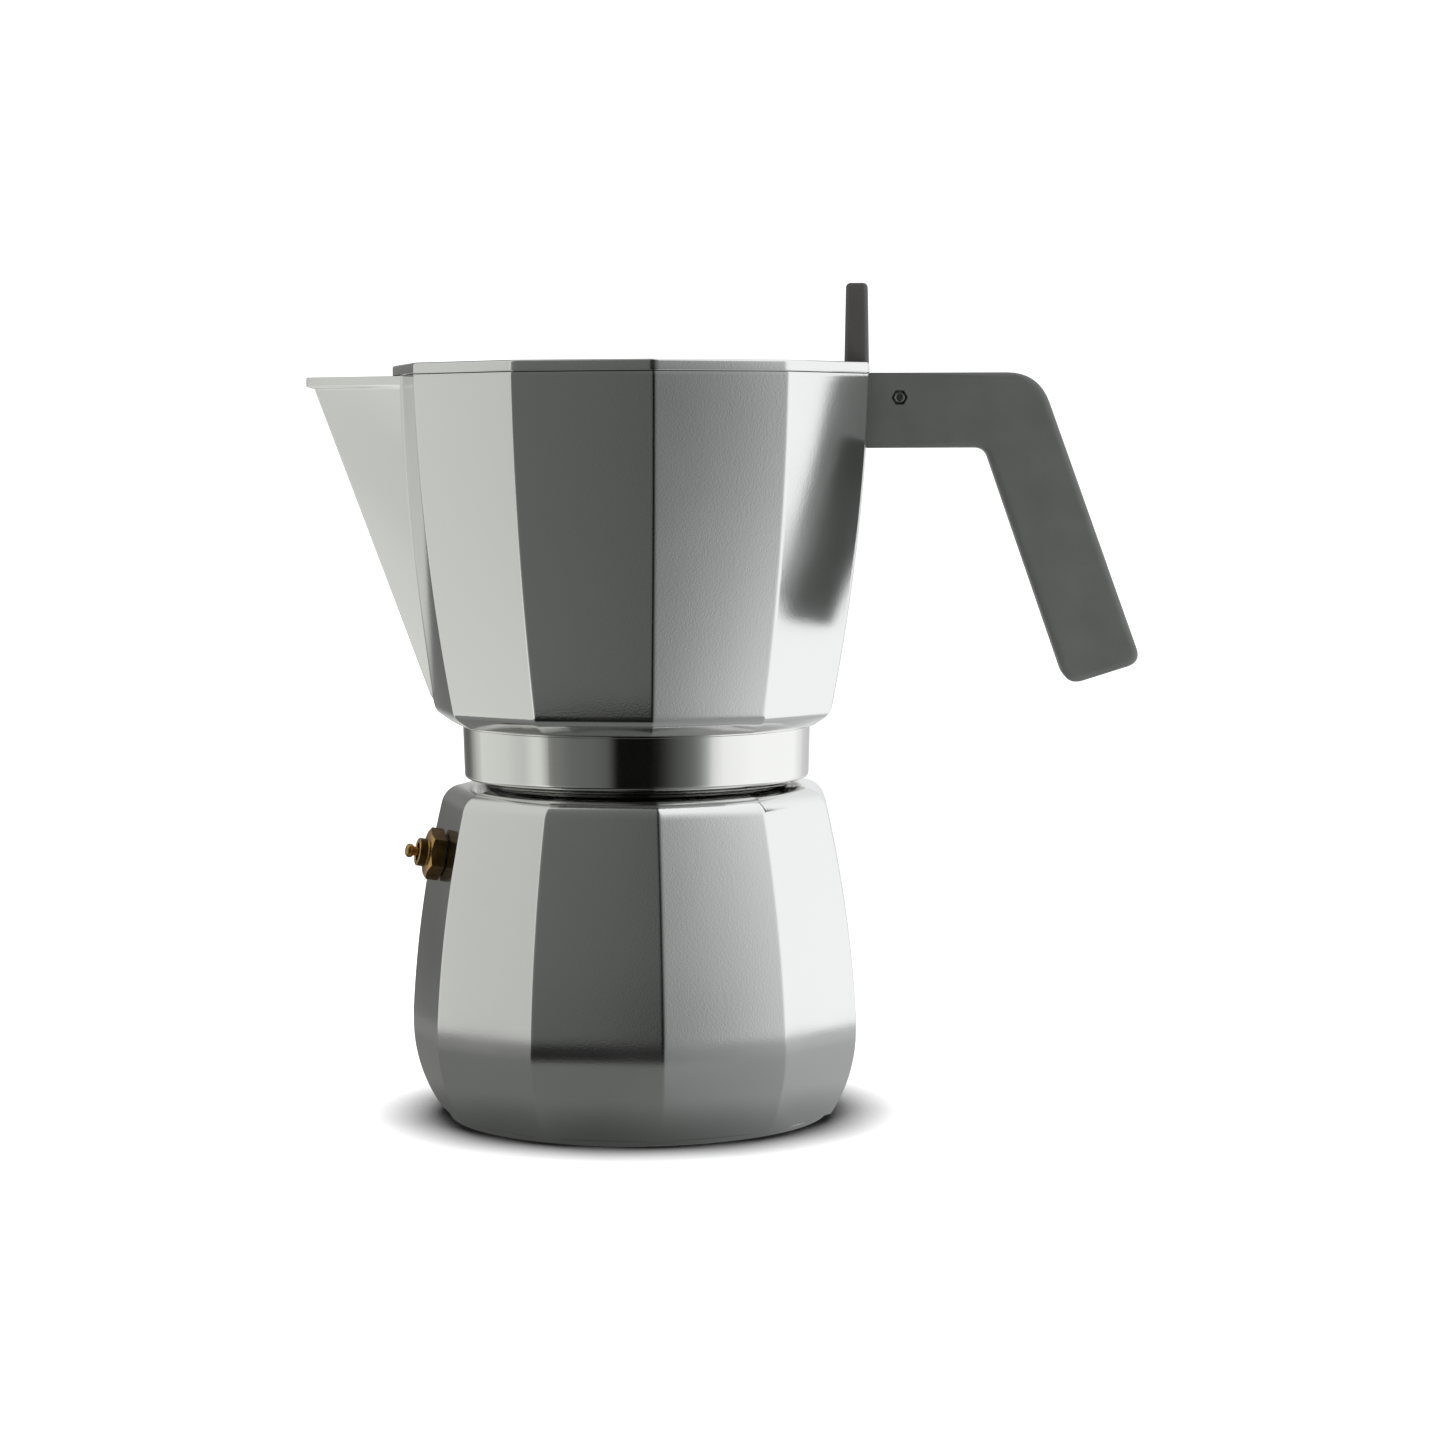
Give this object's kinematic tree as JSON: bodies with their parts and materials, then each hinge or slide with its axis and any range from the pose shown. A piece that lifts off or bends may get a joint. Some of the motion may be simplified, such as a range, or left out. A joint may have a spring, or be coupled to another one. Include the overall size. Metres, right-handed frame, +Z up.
{
  "type": "moka pot",
  "caption": "Stovetop moka pot with flat-sided boiler and spouted collector, round screw collar, hinged lid with thumb tab, slanting plastic handle and brass safety valve.",
  "frame": {"origin": "centre of the boiler's foot, on the table plane and on the pot's vertical axis", "axes": "+Z up, +X towards the handle, -X towards the spout, -Y the side that shows the valve"},
  "size_m": [0.2, 0.1158, 0.1995],
  "materials": {
    "cast_aluminium": "fine satin, polished over a casting",
    "spun_aluminium": "satin, spun and stamped sheet",
    "valve_brass": "turned, dulled by heat",
    "steel": "zinc plated",
    "handle_nylon": "matt moulded, fine texture",
    "tab_nylon": "matt moulded, fine texture",
    "white_silicone": "matt",
    "red_silicone": "matt",
    "fibre_washer": "matt"
  },
  "bodies": {
    "boiler": {"boiler": "cast_aluminium", "valve_washer": "fibre_washer", "valve_body": "valve_brass", "valve_spring": "steel", "valve_seat": "valve_brass"},
    "valve_stem": {"valve_stem": "valve_brass", "valve_seal": "red_silicone"},
    "funnel": {"funnel_cup": "spun_aluminium", "funnel_screen": "spun_aluminium", "funnel_tube": "spun_aluminium"},
    "gasket": {"gasket": "white_silicone"},
    "filter_plate": {"filter_plate": "spun_aluminium"},
    "collector": {"collector": "cast_aluminium", "column": "cast_aluminium", "column_cap": "cast_aluminium", "handle": "handle_nylon", "hinge_bolt": "steel", "hinge_nut": "steel"},
    "lid": {"lid": "cast_aluminium", "thumb_tab": "tab_nylon"}
  },
  "joints": [
    {"name": "valve_pull", "type": "slide", "parent": "boiler", "child": "valve_stem", "axis": [-0.9371, -0.3075, 0.165], "range_m": [0, 0.0018], "stiffness_N_per_m": 900, "springref_m": -0.002},
    {"name": "funnel_lift", "type": "slide", "parent": "boiler", "child": "funnel", "axis": [0, 0, 1], "range_m": [0, 0.085]},
    {"name": "collector_lift", "type": "slide", "parent": "funnel", "child": "gasket", "axis": [0, 0, 1], "range_m": [0, 0.06]},
    {"name": "thread_rise", "type": "slide", "parent": "gasket", "child": "filter_plate", "axis": [0, 0, 1], "range_m": [0, 0.006]},
    {"name": "collector_turn", "type": "hinge", "parent": "filter_plate", "child": "collector", "pos_m": [0, 0, 0.088], "axis": [0, 0, 1], "range_deg": [0, 720]},
    {"name": "lid_hinge", "type": "hinge", "parent": "collector", "child": "lid", "pos_m": [0.0634, 0, 0.1725], "axis": [0, 1, 0], "range_deg": [0, 92]}
  ],
  "couplings": [
    {"joint": "thread_rise", "follows": "collector_turn", "m_per_rad": 0.00047746}
  ]
}
